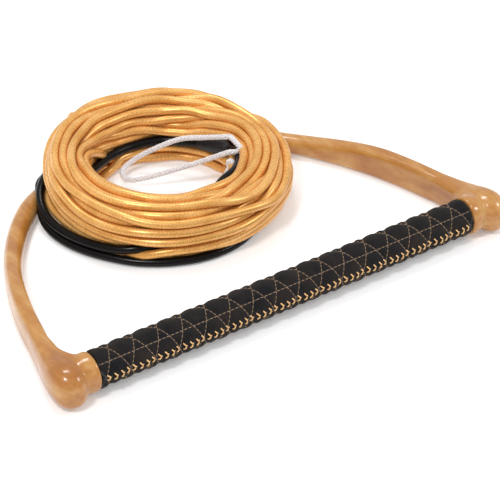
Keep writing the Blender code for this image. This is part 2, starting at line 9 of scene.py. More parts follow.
import bmesh
import bpy
import numpy as np
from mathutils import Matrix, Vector


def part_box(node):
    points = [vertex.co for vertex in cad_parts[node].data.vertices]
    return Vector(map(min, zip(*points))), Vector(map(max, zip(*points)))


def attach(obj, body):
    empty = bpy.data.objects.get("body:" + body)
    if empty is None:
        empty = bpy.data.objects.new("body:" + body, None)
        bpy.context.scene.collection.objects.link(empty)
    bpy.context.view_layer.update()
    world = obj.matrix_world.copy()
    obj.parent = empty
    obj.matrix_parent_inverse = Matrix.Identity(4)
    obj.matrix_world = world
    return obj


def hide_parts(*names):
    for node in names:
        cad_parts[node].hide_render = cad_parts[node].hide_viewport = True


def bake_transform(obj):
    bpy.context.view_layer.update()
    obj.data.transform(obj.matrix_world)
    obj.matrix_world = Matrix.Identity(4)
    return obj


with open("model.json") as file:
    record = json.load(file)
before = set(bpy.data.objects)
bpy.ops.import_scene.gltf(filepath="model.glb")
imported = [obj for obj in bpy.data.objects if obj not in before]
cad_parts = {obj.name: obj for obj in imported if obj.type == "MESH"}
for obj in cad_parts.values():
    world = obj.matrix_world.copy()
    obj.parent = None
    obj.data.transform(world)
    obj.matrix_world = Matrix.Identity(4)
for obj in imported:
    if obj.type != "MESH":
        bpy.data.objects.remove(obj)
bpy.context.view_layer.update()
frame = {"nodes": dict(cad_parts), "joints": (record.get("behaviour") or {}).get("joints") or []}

MM = 0.001
TAU = 2.0 * math.pi
RIGHT = np.array([1.0, 0.0, 0.0])
BACK = np.array([0.0, 1.0, 0.0])
UP = np.array([0.0, 0.0, 1.0])
MIRROR = np.array([-1.0, 1.0, 1.0])
WHITE = (1.0, 1.0, 1.0)

# ---- places, from the frame

WRAP_LOW, WRAP_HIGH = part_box("grip_wrap")
BAR_Y = (WRAP_LOW.y + WRAP_HIGH.y) / 2.0
BAR_Z = (WRAP_LOW.z + WRAP_HIGH.z) / 2.0
GRIP_RADIUS = (WRAP_HIGH.z - WRAP_LOW.z) / 2.0
GRIP_END = WRAP_HIGH.x
HANDLE_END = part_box("end_moulding_right")[1].x
TUBE_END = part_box("bar_tube")[1].x
YOKE_LOW, YOKE_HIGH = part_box("bridle_yoke")
EYE_LOW, EYE_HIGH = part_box("bridle_eye")
RING_LOW, RING_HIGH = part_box("mainline_eye")
COIL_LOW, COIL_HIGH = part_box("mainline")
COIL_OUTER = (COIL_HIGH.x - COIL_LOW.x) / 2.0
LOOP_SWING = next(joint for joint in frame["joints"] if joint["name"] == "boat_loop_swing")
KNOT = np.array(LOOP_SWING["pos_m"])
# The coil's middle, seen from the knot on its inner wall
COIL_X = KNOT[0] - 50.0 * MM
COIL_Y = KNOT[1] + 18.0 * MM

# Bridle curve seen from above, as in the CAD model: a half superellipse from elbow to elbow
BRIDLE_HALF_WIDTH = 171.0 * MM
BRIDLE_DEPTH = 229.0 * MM
BRIDLE_POWER = 1.8

RANDOM = np.random.default_rng(7)


# ---- small maths

def mix(a, b, t):
    return a + (b - a) * t


def smooth(t):
    t = np.clip(t, 0.0, 1.0)
    return t * t * (3.0 - 2.0 * t)


def unit(v):
    return v / np.linalg.norm(v, axis=-1, keepdims=True)


def catmull(points, per_span):
    """Smooth curve through points, with a number of samples in each span."""
    points = np.asarray(points, float)
    last = len(points) - 1
    t = np.linspace(0.0, 1.0, per_span, endpoint=False)[:, None]
    samples = []
    for i in range(last):
        a, b, c, d = points[max(i - 1, 0)], points[i], points[i + 1], points[min(i + 2, last)]
        samples.append(0.5 * ((2 * b) + (c - a) * t + (2 * a - 5 * b + 4 * c - d) * t ** 2
                              + (3 * b - a - 3 * c + d) * t ** 3))
    samples.append(points[-1:])
    return np.concatenate(samples)


def path_tangents(path, closed):
    if closed:
        return unit(np.roll(path, -1, axis=0) - np.roll(path, 1, axis=0))
    return unit(np.gradient(path, axis=0))


def path_frames(path, closed):
    """Side and up vectors along a path, carried along without twisting."""
    direction = path_tangents(path, closed)
    start = UP if abs(direction[0][2]) < 0.9 else RIGHT
    side = np.zeros_like(path)
    current = unit(np.cross(direction[0], start))
    for i, d in enumerate(direction):
        current = unit(current - d * np.dot(current, d))
        side[i] = current
    up = np.cross(side, direction)
    if closed:
        carried = unit(side[-1] - direction[0] * np.dot(side[-1], direction[0]))
        error = math.atan2(np.dot(carried, up[0]), np.dot(carried, side[0]))
        turn = -error * np.arange(len(path))[:, None] / len(path)
        side, up = side * np.cos(turn) + up * np.sin(turn), up * np.cos(turn) - side * np.sin(turn)
    return side, up


def arc_length(path):
    return np.concatenate([[0.0], np.cumsum(np.linalg.norm(np.diff(path, axis=0), axis=1))])


# ---- meshes and pieces

def grid_faces(rows, columns, closed):
    """Quads between rings of vertices; closed joins the last ring to the first."""
    i, j = np.meshgrid(np.arange(rows if closed else rows - 1), np.arange(columns), indexing="ij")
    i2 = (i + 1) % rows
    j2 = (j + 1) % columns
    quads = np.stack([i * columns + j, i * columns + j2, i2 * columns + j2, i2 * columns + j], -1)
    return quads.reshape(-1, 4).tolist()


def end_caps(rows, columns):
    """Faces that close the first and the last ring of a grid."""
    last = (rows - 1) * columns
    return [list(range(columns))[::-1], list(range(last, last + columns))]


def add_object(name, data):
    item = bpy.data.objects.new(name, data)
    bpy.context.collection.objects.link(item)
    return item


def make_piece(name, vertices, faces, material, uv=None, sharp=180.0):
    """Mesh object with outward faces, smooth up to an angle in degrees, with or without a UV."""
    mesh = bpy.data.meshes.new(name)
    mesh.from_pydata(np.asarray(vertices).tolist(), [], faces)
    if uv is not None:
        layer = mesh.uv_layers.new(name="UVMap")
        index = np.empty(len(mesh.loops), int)
        mesh.loops.foreach_get("vertex_index", index)
        layer.data.foreach_set("uv", np.asarray(uv, np.float32)[index].ravel())
    bm = bmesh.new()
    bm.from_mesh(mesh)
    bmesh.ops.recalc_face_normals(bm, faces=bm.faces)
    bm.to_mesh(mesh)
    bm.free()
    mesh.shade_smooth()
    if sharp < 180.0:
        mesh.set_sharp_from_angle(angle=math.radians(sharp))
    mesh.materials.append(MATERIALS[material])
    return add_object(name, mesh)


def tube_grid(path, radius, sides, closed=False):
    """Vertices, faces and UV (metres along, turns around) of a tube. An open one gets rounded ends."""
    path = np.asarray(path, float)
    radius = radius * np.ones(len(path))
    if not closed:
        path, radius = round_ends(path, radius)
    side, up = path_frames(path, closed)
    angle = np.linspace(0.0, TAU, sides, endpoint=False)
    ring = side[:, None] * np.cos(angle)[:, None] + up[:, None] * np.sin(angle)[:, None]
    vertices = path[:, None, :] + ring * radius[:, None, None]
    along, around = np.meshgrid(arc_length(path), angle / TAU, indexing="ij")
    uv = np.stack([along, around], -1).reshape(-1, 2)
    faces = grid_faces(len(path), sides, closed)
    if not closed:
        faces += end_caps(len(path), sides)
    return vertices.reshape(-1, 3), faces, uv


def round_ends(path, radius):
    """Add three shrinking rings beyond each end of an open tube."""
    tangent = path_tangents(path, False)
    turn = np.array([0.35, 0.7, 0.95]) * math.pi / 2.0
    head = path[0] - tangent[0] * radius[0] * np.sin(turn)[::-1, None] * 0.6
    tail = path[-1] + tangent[-1] * radius[-1] * np.sin(turn)[:, None] * 0.6
    path = np.concatenate([head, path, tail])
    radius = np.concatenate([radius[0] * np.cos(turn)[::-1], radius, radius[-1] * np.cos(turn)])
    return path, radius


def join_shapes(shapes):
    """One vertex list, face list and UV list from several."""
    vertices, faces, uvs, offset = [], [], [], 0
    for shape_vertices, shape_faces, uv in shapes:
        vertices.append(shape_vertices)
        uvs.append(uv)
        faces += [[index + offset for index in face] for face in shape_faces]
        offset += len(shape_vertices)
    return np.concatenate(vertices), faces, np.concatenate(uvs)


def make_joined(name, shapes, material):
    vertices, faces, uv = join_shapes(shapes)
    return make_piece(name, vertices, faces, material, uv)


def apply_modifiers(item):
    """Replace the object's mesh by its evaluated one."""
    evaluated = item.evaluated_get(bpy.context.evaluated_depsgraph_get())
    mesh = bpy.data.meshes.new_from_object(evaluated)
    item.modifiers.clear()
    old = item.data
    item.data = mesh
    bpy.data.meshes.remove(old)


def stand_for(item, body, slot, *nodes):
    """Make a piece ride on a body in place of the CAD nodes named; the slot argument is not used."""
    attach(item, body)
    if nodes:
        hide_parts(*nodes)


def add_tube(name, path, radius, body, slot, node, sides=14, closed=False):
    """Round piece along a path that stands for a CAD node and has its slot's material."""
    piece = make_joined(name, [tube_grid(path, radius, sides, closed)], slot)
    stand_for(piece, body, slot, node)


# ---- materials

class Nodes:
    """Short way to write a procedural material."""

    def __init__(self, name):
        self.material = bpy.data.materials.new(name)
        self.material.use_nodes = True
        self.tree = self.material.node_tree
        self.shader = self.tree.nodes["Principled BSDF"]

    def feed(self, node, inputs):
        """Give a node's sockets, by name or number, a value or a link."""
        for name, value in inputs.items():
            if isinstance(value, bpy.types.NodeSocket):
                self.tree.links.new(value, node.inputs[name])
            else:
                node.inputs[name].default_value = value

    def add(self, kind, inputs, **settings):
        node = self.tree.nodes.new("ShaderNode" + kind)
        for key, value in settings.items():
            setattr(node, key, value)
        self.feed(node, inputs)
        return node

    def set(self, **values):
        """Uniform values of the shader: coat_weight is the socket Coat Weight."""
        names = {key: key.replace("_", " ").title().replace("Ior", "IOR") for key in values}
        self.feed(self.shader, {names[key]: value for key, value in values.items()})

    def math(self, operation, *values):
        return self.add("Math", dict(enumerate(values)), operation=operation).outputs[0]

    def position(self):
        return self.add("TexCoord", {}).outputs["Object"]

    def stretched(self, *scale):
        """Position scaled along each axis, for noise that is drawn out along one of them."""
        return self.add("Mapping", {"Scale": scale, "Vector": self.position()}).outputs[0]

    def uv(self):
        """Metres along and turns around a tube."""
        split = self.add("SeparateXYZ", {0: self.add("TexCoord", {}).outputs["UV"]})
        return split.outputs[0], split.outputs[1]

    def noise(self, scale, detail=4.0, vector=None, roughness=0.55):
        inputs = {"Scale": scale, "Detail": detail, "Roughness": roughness}
        return self.add("TexNoise", {**inputs, "Vector": vector or self.position()}).outputs["Fac"]

    def ramp(self, factor, stops):
        node = self.add("ValToRGB", {"Fac": factor})
        ramp = node.color_ramp
        while len(ramp.elements) < len(stops):
            ramp.elements.new(0.5)
        for element, (place, colour) in zip(ramp.elements, stops):
            element.position = place
            element.color = (*colour, 1.0)
        return node.outputs["Color"]

    def shaded(self, base, shade, share):
        """Base colour multiplied by a shade, which counts for a share. Sockets 6 and 7 take colours."""
        inputs = {"Factor": share, 6: base, 7: shade}
        return self.add("Mix", inputs, data_type="RGBA", blend_type="MULTIPLY").outputs[2]

    def colour(self, output):
        self.feed(self.shader, {"Base Color": output})

    def bump(self, height, distance):
        node = self.add("Bump", {"Distance": distance, "Height": height})
        self.feed(self.shader, {"Normal": node.outputs[0]})

    def roughness(self, factor, low, high):
        node = self.add("MapRange", {"Value": factor, "To Min": low, "To Max": high})
        self.feed(self.shader, {"Roughness": node.outputs[0]})

    def braid(self, pitch, strands):
        """Two crossing sets of helical strands, 0 in the grooves and 1 on the crowns."""
        along, around = self.uv()
        length = self.math("MULTIPLY", along, TAU / pitch)
        turn = self.math("MULTIPLY", around, TAU * strands)
        left = self.math("SINE", self.math("ADD", length, turn))
        right = self.math("SINE", self.math("SUBTRACT", length, turn))
        return self.math("MULTIPLY_ADD", self.math("MULTIPLY", left, right), 0.5, 0.5)


def coated_rope(name, dark, light, roughness, pearl, specular):
    """Smooth coating with the braided core just showing through it."""
    m = Nodes(name)
    weave = m.braid(2.6 * MM, 5)
    base = m.ramp(m.noise(60.0, 3.0), ((0.3, dark), (0.7, light)))
    shade = m.ramp(weave, ((0.0, (0.84, 0.68, 0.5)), (0.6, WHITE)))
    m.colour(m.shaded(base, shade, 0.22))
    m.roughness(m.noise(900.0, 3.0), roughness - 0.06, roughness + 0.1)
    m.bump(m.math("ADD", weave, m.math("MULTIPLY", m.noise(700.0), 0.4)), 0.045 * MM)
    m.set(metallic=pearl, specular_ior_level=specular)
    return m.material


def urethane():
    """Cast urethane: glossy, golden brown, with slow swirls drawn out along the arms."""
    m = Nodes("urethane")
    swirl = m.noise(1.0, 5.0, vector=m.stretched(95.0, 13.0, 130.0), roughness=0.6)
    cloud = m.noise(26.0, 3.0)
    tone = m.math("ADD", m.math("MULTIPLY", swirl, 0.6), m.math("MULTIPLY", cloud, 0.4))
    dark, middle, light = (0.33, 0.115, 0.018), (0.46, 0.20, 0.044), (0.60, 0.35, 0.12)
    base = m.ramp(tone, ((0.34, dark), (0.5, middle), (0.66, light)))
    fine = m.noise(240.0, 4.0)
    shade = m.ramp(fine, ((0.3, (0.8, 0.76, 0.7)), (0.7, WHITE)))
    m.colour(m.shaded(base, shade, 0.25))
    m.roughness(fine, 0.16, 0.3)
    m.bump(m.math("ADD", m.noise(420.0, 2.0), m.noise(90.0, 2.0)), 0.05 * MM)
    m.set(coat_weight=0.3, coat_roughness=0.05)
    m.set(subsurface_weight=0.05, subsurface_scale=0.003, subsurface_radius=(1.0, 0.4, 0.12))
    return m.material


def suede():
    """Black napped suede with brushed patches and dust-fine fibres."""
    m = Nodes("suede")
    dark, middle, light = (0.009, 0.009, 0.011), (0.017, 0.0145, 0.014), (0.030, 0.021, 0.017)
    base = m.ramp(m.noise(70.0, 5.0), ((0.35, dark), (0.55, middle), (0.75, light)))
    fibres = m.noise(2600.0, 4.0, roughness=0.7)
    shade = m.ramp(fibres, ((0.3, (0.35, 0.35, 0.36)), (0.7, WHITE)))
    m.colour(m.shaded(base, shade, 0.5))
    m.roughness(fibres, 0.82, 1.0)
    m.bump(m.math("ADD", m.math("MULTIPLY", fibres, 0.7), m.noise(600.0, 3.0)), 0.22 * MM)
    m.set(sheen_weight=0.14, sheen_roughness=0.45, sheen_tint=(0.5, 0.43, 0.38, 1.0))
    m.set(specular_ior_level=0.15)
    return m.material


def thread(name, dark, light):
    """Twisted thread: three slanting plies, with painted shade darkening the grooves between them."""
    m = Nodes(name)
    along, around = m.uv()
    slant = m.math("ADD", m.math("MULTIPLY", along, TAU / (0.9 * MM)), m.math("MULTIPLY", around, TAU * 3.0))
    height = m.math("MULTIPLY_ADD", m.math("SINE", slant), 0.5, 0.5)
    # Painted shade: the colour darkens where the ply height drops into the grooves, mixed with random noise.
    tone = m.math("ADD", m.math("MULTIPLY", height, 0.6), m.math("MULTIPLY", m.noise(900.0), 0.5))
    m.colour(m.ramp(tone, ((0.2, dark), (0.75, light))))
    m.bump(height, 0.08 * MM)
    m.set(roughness=0.5, sheen_weight=0.2)
    return m.material


def times(colour, factor):
    return tuple(factor * channel for channel in colour)


def rubber(name, tone, roughness):
    """Dull black rubber or nylon with a fine grain."""
    m = Nodes(name)
    grain = m.noise(1500.0, 3.0)
    m.colour(m.ramp(m.noise(120.0, 4.0), ((0.3, times(tone, 0.7)), (0.7, times(tone, 1.3)))))
    m.roughness(grain, roughness - 0.1, roughness + 0.1)
    m.bump(grain, 0.05 * MM)
    m.set(specular_ior_level=0.3)
    return m.material


def white_braid():
    """Bare white cord: the plies are geometry, the flecks and fuzz are here."""
    m = Nodes("white_braid")
    fleck, plain, light = (0.45, 0.41, 0.44), (0.78, 0.76, 0.77), (0.86, 0.85, 0.85)
    m.colour(m.ramp(m.noise(1400.0, 3.0), ((0.34, fleck), (0.5, plain), (0.7, light))))
    m.bump(m.noise(2600.0, 3.0), 0.1 * MM)
    m.set(roughness=0.75, sheen_weight=0.3)
    return m.material


def brushed_aluminium():
    m = Nodes("brushed_aluminium")
    lines = m.noise(1.0, 3.0, vector=m.stretched(40.0, 2500.0, 2500.0))
    m.colour(m.ramp(lines, ((0.3, (0.62, 0.63, 0.65)), (0.7, (0.8, 0.81, 0.83)))))
    m.roughness(lines, 0.25, 0.45)
    m.bump(lines, 0.02 * MM)
    m.set(metallic=1.0)
    return m.material


def foam(name, tone):
    m = Nodes(name)
    cells = m.add("TexVoronoi", {"Scale": 1600.0, "Vector": m.position()}).outputs["Distance"]
    m.colour(m.ramp(cells, ((0.0, times(tone, 0.75)), (0.5, tone))))
    m.bump(cells, 0.15 * MM)
    m.set(roughness=0.95)
    return m.material


def floor_material():
    m = Nodes("pale_floor")
    m.colour(m.ramp(m.noise(3.0, 2.0), ((0.3, (0.86, 0.86, 0.865)), (0.7, (0.88, 0.88, 0.885)))))
    m.set(roughness=0.65, specular_ior_level=0.2)
    m.set(emission_strength=0.22, emission_color=(*WHITE, 1.0))
    return m.material


MATERIALS = {
    "gold_rope": coated_rope("gold_coated_rope", (0.70, 0.34, 0.08), (0.88, 0.49, 0.16),
                             roughness=0.26, pearl=0.4, specular=0.5),
    "black_rope": coated_rope("black_coated_rope", (0.003, 0.0027, 0.0027), (0.006, 0.005, 0.005),
                              roughness=0.16, pearl=0.0, specular=0.16),
    "urethane": urethane(),
    "suede": suede(),
    "quilt_thread": thread("quilt_thread", (0.24, 0.12, 0.04), (0.50, 0.29, 0.12)),
    "lace_thread": thread("lace_thread", (0.62, 0.27, 0.06), (0.98, 0.66, 0.30)),
    "black_rubber": rubber("black_rubber", (0.012, 0.011, 0.013), 0.45),
    "white_cord": white_braid(),
    "aluminium": brushed_aluminium(),
    "foam": foam("float_foam", (0.72, 0.70, 0.64)),
    "pad": foam("grip_foam", (0.035, 0.035, 0.04)),
    "plug": rubber("plug_nylon", (0.03, 0.03, 0.03), 0.5),
    "floor": floor_material(),
}


# ---- grip

QUILT_PITCH = 18.9 * MM
QUILT_DEPTH = 1.75 * MM
# Place of the lengthwise rows in each quarter of the wrap, and a quarter's length round it
LENGTHWISE_QUARTER = 0.54
QUARTER_ARC = GRIP_RADIUS * math.pi / 2.0
# How far the quilting lines lie below the wrap's outer radius, and how wide their dents are
LINE_DEPTH = 1.25 * MM
PUFF_REACH = 3.4 * MM
SEAM_WIDTH = 0.7 * MM
SEAM_DEPTH = 0.35 * MM
WRINKLE = 0.16 * MM
WRAP_THICKNESS = 1.8 * MM

STITCH_RADIUS = 0.21 * MM
# Length of a stitch and of the gap after it, in the zig-zags and in the lengthwise rows
ZIGZAG = (2.3 * MM, 0.9 * MM)
ROW = (2.4 * MM, 1.0 * MM)
# How far a stitch stands above the suede from end to end
STITCH_LIFT = np.array([-0.28, 0.16, 0.24, 0.16, -0.28]) * MM

LACE_PITCH = 4.85 * MM
LACE_RADIUS = 0.46 * MM
# Legs of the lacing: how far they reach over the seam's side and lean back along the grip
LACE_REACH = 2.35 * MM
LACE_LEAN = 2.1 * MM


def quilt_distance(x, quarter):
    """Distance to the nearest quilting line. quarter counts quarter turns from the seam over the top."""
    slope = QUARTER_ARC / (QUILT_PITCH / 2.0)
    scale = 1.0 / math.sqrt(1.0 + 1.0 / slope ** 2)
    distances = []
    for sign in (-1.0, 1.0):
        phase = x / QUILT_PITCH + sign * quarter / 2.0
        distances.append(np.abs(phase - np.round(phase)) * QUILT_PITCH * scale)
    distances.append(np.abs(np.mod(quarter, 1.0) - LENGTHWISE_QUARTER) * QUARTER_ARC)
    return np.minimum.reduce(distances)


def wrap_radius(x, angle):
    """Radius of the quilted suede at a place along the grip and an angle round it."""
    quarter = np.mod((math.pi - angle) / (math.pi / 2.0), 4.0)
    distance = quilt_distance(x, quarter)
    puff = 1.0 - np.exp(-(distance / PUFF_REACH) ** 1.35)
    seam_gap = np.minimum(quarter, 4.0 - quarter) * QUARTER_ARC
    seam = np.exp(-(seam_gap / SEAM_WIDTH) ** 2)
    wrinkle = WRINKLE * np.sin(x * 410.0 + 3.0 * np.sin(angle * 2.0)) * np.sin(angle * 3.0 + x * 130.0)
    end = smooth((GRIP_END - np.abs(x)) / (1.5 * MM))
    low = GRIP_RADIUS - LINE_DEPTH
    return low + QUILT_DEPTH * puff * mix(0.4, 1.0, end) - SEAM_DEPTH * seam + wrinkle * puff


def on_wrap(x, angle, lift):
    """Point on the suede, or a little above it."""
    radius = wrap_radius(x, angle) + lift
    return np.stack([x, BAR_Y + radius * np.cos(angle), BAR_Z + radius * np.sin(angle)], -1)


def quarter_angle(quarter):
    """Angle round the bar of a number of quarter turns from the front seam over the top."""
    return math.pi - quarter * math.pi / 2.0


def build_wrap():
    """Suede tube: quilted outside, plain inside."""
    rows, columns = 420, 144
    around = np.linspace(0.0, TAU, columns, endpoint=False)
    x, angle = np.meshgrid(np.linspace(-GRIP_END, GRIP_END, rows), around, indexing="ij")
    inner_radius = GRIP_RADIUS - WRAP_THICKNESS
    inner_y = BAR_Y + inner_radius * np.cos(around)
    inner_z = BAR_Z + inner_radius * np.sin(around)
    inner = [np.stack([np.full(columns, end), inner_y, inner_z], -1) for end in (GRIP_END, -GRIP_END)]
    vertices = np.concatenate([on_wrap(x, angle, 0.0), inner]).reshape(-1, 3)
    faces = grid_faces(rows + 2, columns, True)
    wrap = make_piece("quilted_wrap", vertices, faces, "suede")
    stand_for(wrap, "handle", "suede", "grip_wrap")


def stitch_line(start, end, stitch, gap):
    """Row of separate stitches between two places (x, quarter) on the flattened wrap."""
    length = math.hypot(end[0] - start[0], (end[1] - start[1]) * QUARTER_ARC)
    count = max(int(round(length / (stitch + gap))), 1)
    shapes = []
    for k in range(count):
        first = (k + 0.5 * gap / (stitch + gap)) / count
        last = first + stitch / (stitch + gap) / count
        t = np.linspace(first, last, len(STITCH_LIFT))
        angle = quarter_angle(mix(start[1], end[1], t))
        path = on_wrap(mix(start[0], end[0], t), angle, STITCH_LIFT)
        shapes.append(tube_grid(path, STITCH_RADIUS, 6))
    return shapes


def build_quilting():
    """Thin gold stitches: zig-zags between the seam and top lines, and lengthwise rows."""
    shapes = []
    limit = GRIP_END - 1.0 * MM
    count = int(GRIP_END / QUILT_PITCH) + 2
    for quadrant in range(4):
        for k in range(-count, count + 1):
            start = (k + (0.5 if quadrant % 2 else 0.0)) * QUILT_PITCH
            for sign in (-1.0, 1.0):
                end = start + sign * QUILT_PITCH / 2.0
                if max(abs(start), abs(end)) <= limit:
                    shapes += stitch_line((start, quadrant + 0.02), (end, quadrant + 0.98), *ZIGZAG)
        row = quadrant + LENGTHWISE_QUARTER
        shapes += stitch_line((-limit, row), (limit, row), *ROW)
    stitches = make_joined("quilt_stitches", shapes, "quilt_thread")
    stand_for(stitches, "handle", "thread")


def build_lacing():
    """Fishbone lacing: heavy twisted legs that meet in arrow heads along the front seam."""
    low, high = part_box("seam_lacing")
    count = int(round((high.x - low.x) / LACE_PITCH))
    shapes = []
    for k in range(count):
        x0 = mix(low.x, high.x, (k + 0.85) / count)
        for side in (-1.0, 1.0):
            jitter = RANDOM.normal(0.0, 0.12, 3) * MM
            reach = (LACE_REACH + jitter[0]) * side
            lean = LACE_LEAN + jitter[1]
            t = np.linspace(0.0, 1.0, 8)
            x = x0 + jitter[2] - lean * (1.0 - t) - 0.25 * MM * np.sin(t * math.pi) + 0.5 * MM * t ** 3
            quarter = (reach * (1.0 - t) - 0.15 * MM * side * t) / QUARTER_ARC
            lift = (-0.35 + 1.05 * np.sin(np.clip(t * 1.15, 0.0, 1.0) * math.pi) ** 0.5) * MM
            shapes.append(tube_grid(on_wrap(x, quarter_angle(quarter), lift), LACE_RADIUS, 8))
    lacing = make_joined("fishbone_lacing", shapes, "lace_thread")
    stand_for(lacing, "handle", "thread", "seam_lacing")


# ---- end mouldings

# Elbow, front to back, in mm: Y from the bar's axis, insets of its outer and inner side from
# the handle's end, bottom, top, squareness of the section
ELBOW_SECTIONS = np.array((
    (-17.5, 9.0, 16.5, 8.0, 18.0, 2.0),
    (-15.0, 4.5, 20.0, 3.5, 23.0, 2.1),
    (-10.0, 1.0, 22.8, 0.6, 27.0, 2.3),
    (-3.0, 0.0, 24.0, 0.0, 28.8, 2.4),
    (6.0, 1.0, 24.8, 0.0, 28.0, 2.5),
    (16.0, 3.8, 25.0, 0.0, 25.6, 2.8),
    (28.0, 8.0, 25.0, 0.0, 23.8, 3.2),
    (42.0, 12.5, 25.7, 0.0, 22.7, 3.6),
))
# Collar and neck: distance from the grip's end and radius, in mm
COLLAR_PROFILE = ((0.0, 13.2), (0.5, 13.9), (1.6, 14.1), (6.0, 13.9), (9.0, 13.2), (11.5, 12.5),
                  (20.0, 12.2))
COLLAR_GAP = 0.6 * MM
# Distances behind the bar where the arm leaves the elbow, starts to slim and has become a tube
ARM_START = 54.0 * MM
ARM_SLIM = 85.0 * MM
ARM_TUBE = 168.0 * MM
ARM_HEIGHT = 23.0 * MM
ARM_WIDTH = 12.2 * MM
TUBE_THICKNESS = 14.5 * MM
TIP_THICKNESS = 10.8 * MM
ARM_TAPER_ANGLE = math.radians(58.0)
ARM_TIP_ANGLE = math.radians(71.0)


def bridle_point(angle):
    """Plan of the bridle: angle 0 at the right elbow, a quarter turn at the apex."""
    y = BRIDLE_DEPTH * np.maximum(np.sin(angle), 0.0) ** (2.0 / BRIDLE_POWER)
    return np.stack([BRIDLE_HALF_WIDTH * np.cos(angle), BAR_Y + y, 0.0 * y], -1)


def bridle_angle(depth):
    return math.asin((depth / BRIDLE_DEPTH) ** (BRIDLE_POWER / 2.0))


def arm_section(depth, angle):
    """Width, height and squareness of the arm."""
    slim = smooth((depth - ARM_SLIM) / (ARM_TUBE - ARM_SLIM))
    taper = smooth((angle - ARM_TAPER_ANGLE) / (ARM_TIP_ANGLE - ARM_TAPER_ANGLE))
    tube = mix(TUBE_THICKNESS, TIP_THICKNESS, taper)
    return mix(ARM_WIDTH, tube, slim ** 1.5), mix(ARM_HEIGHT, tube, slim), mix(4.0, 2.0, slim)


def superellipse_ring(centre, across, width, height, power, sides=40):
    """Upright ring: an ellipse at power 2, and squarer above it."""
    angle = (np.arange(sides) + 0.5) * TAU / sides
    c, s = np.cos(angle), np.sin(angle)
    u = np.sign(c) * np.abs(c) ** (2.0 / power) * width / 2.0
    v = np.sign(s) * np.abs(s) ** (2.0 / power) * height / 2.0
    return centre + across * u[:, None] + UP * v[:, None]


def loft_shape(rings):
    """Closed skin over a row of rings."""
    rings = np.asarray(rings)
    rows, columns = rings.shape[:2]
    faces = grid_faces(rows, columns, False) + end_caps(rows, columns)
    return rings.reshape(-1, 3), faces, np.zeros((rows * columns, 2))


def arm_shape():
    """Right elbow and arm, from the elbow's rounded front to the arm's tip."""
    rings = []
    for y, outer, inner, bottom, top, power in catmull(ELBOW_SECTIONS, 5):
        x = HANDLE_END - (outer + inner) / 2.0 * MM
        centre = np.array([x, BAR_Y + y * MM, (bottom + top) / 2.0 * MM])
        rings.append(superellipse_ring(centre, RIGHT, (inner - outer) * MM, (top - bottom) * MM, power))
    for angle in np.linspace(bridle_angle(ARM_START), ARM_TIP_ANGLE, 60):
        point = bridle_point(angle)
        ahead = bridle_point(angle + 0.01) - bridle_point(angle - 0.01)
        width, height, power = arm_section(point[1] - BAR_Y, angle)
        centre = np.array([point[0], point[1], height / 2.0])
        rings.append(superellipse_ring(centre, unit(np.cross(ahead, UP)), width, height, power))
    return loft_shape(rings)


# Web that fills the corner between collar and arm, in mm: inset from the handle's end, Y, top, bottom
WEB_PATH = np.array((
    (27.5, 0.0, 28.6, 3.0),
    (24.5, 4.0, 28.0, 1.5),
    (21.5, 10.0, 26.6, 0.0),
    (19.2, 20.0, 24.8, 0.0),
    (18.6, 31.0, 23.3, 0.0),
))
WEB_WIDTH = 11.0 * MM


def web_shape():
    """Right web, from the collar's back to the arm's inner side."""
    rows = catmull(WEB_PATH, 5)
    ahead = np.gradient(rows[:, :2] * np.array([-1.0, 1.0]), axis=0)
    rings = []
    for (inset, y, top, bottom), (along_x, along_y) in zip(rows, ahead):
        centre = np.array([HANDLE_END - inset * MM, BAR_Y + y * MM, (top + bottom) / 2.0 * MM])
        across = unit(np.array([along_y, -along_x, 0.0]))
        rings.append(superellipse_ring(centre, across, WEB_WIDTH, (top - bottom) * MM, 2.8))
    return loft_shape(rings)


def collar_shape():
    """Flared collar round the grip's end and the neck behind it."""
    rings = []
    for x, radius in COLLAR_PROFILE:
        centre = np.array([GRIP_END + COLLAR_GAP + x * MM, BAR_Y, BAR_Z])
        width = 2.0 * radius * MM
        rings.append(superellipse_ring(centre, BACK, width, width, 2.0, 56))
    return loft_shape(rings)


def build_moulding(name, side, node):
    """Collar, elbow, arm and web fused into one skin, flat underneath."""
    vertices, faces, _ = join_shapes([collar_shape(), arm_shape(), web_shape()])
    item = make_piece(name, vertices * np.array([side, 1.0, 1.0]), faces, "urethane")
    remesh = item.modifiers.new("fuse", "REMESH")
    remesh.mode = "VOXEL"
    remesh.voxel_size = 0.8 * MM
    remesh.use_smooth_shade = True
    soften = item.modifiers.new("soften", "SMOOTH")
    soften.factor = 0.5
    soften.iterations = 14
    apply_modifiers(item)
    item.data.materials.clear()
    item.data.materials.append(MATERIALS["urethane"])
    for vertex in item.data.vertices:
        vertex.co.z = max(vertex.co.z, 0.0)
    stand_for(item, "handle", "urethane", node)


# ---- the coil

# Steps in one turn of the coil, and the step at which the line starts
STATIONS = 96
COIL_START = 28
ROPE_RADIUS = 3.15 * MM
SLEEVE_RADIUS = 4.9 * MM
# Half the distance at which two turns touch
CONTACT = 3.2 * MM
# Rope positions in each column of the bundle, inside to outside: the rope winds up one and down the next
COLUMNS = (4, 6, 6, 6, 6, 6, 5)
TURNS = sum(COLUMNS)
# Steps of the line beyond its last whole turn, and at each end that are drawn into the bundle
TAIL_STATIONS = 12
TUCKED_STATIONS = 40
# Slow wander of the turns across the bundle, and the steps from one random value to the next
WANDER = 3.6 * MM
WANDER_STATIONS = 66
# Half width times half height of the bundle's section, in square mm
BUNDLE_AREA = 432.0

RELAX_STEPS = 700
PUSH_APART = 0.27
# Pull towards the bundle's middle, at first and while the turns come to rest
PULL = 0.014
LAST_PULL = 0.002
STIFFNESS = 0.8
END_HOLD = 0.06
BLACK_HOLD = 0.12

BOOT_ARC = (math.radians(-7.0), math.radians(30.0))
BOAT_ARC = (math.radians(-100.0), math.radians(164.0))
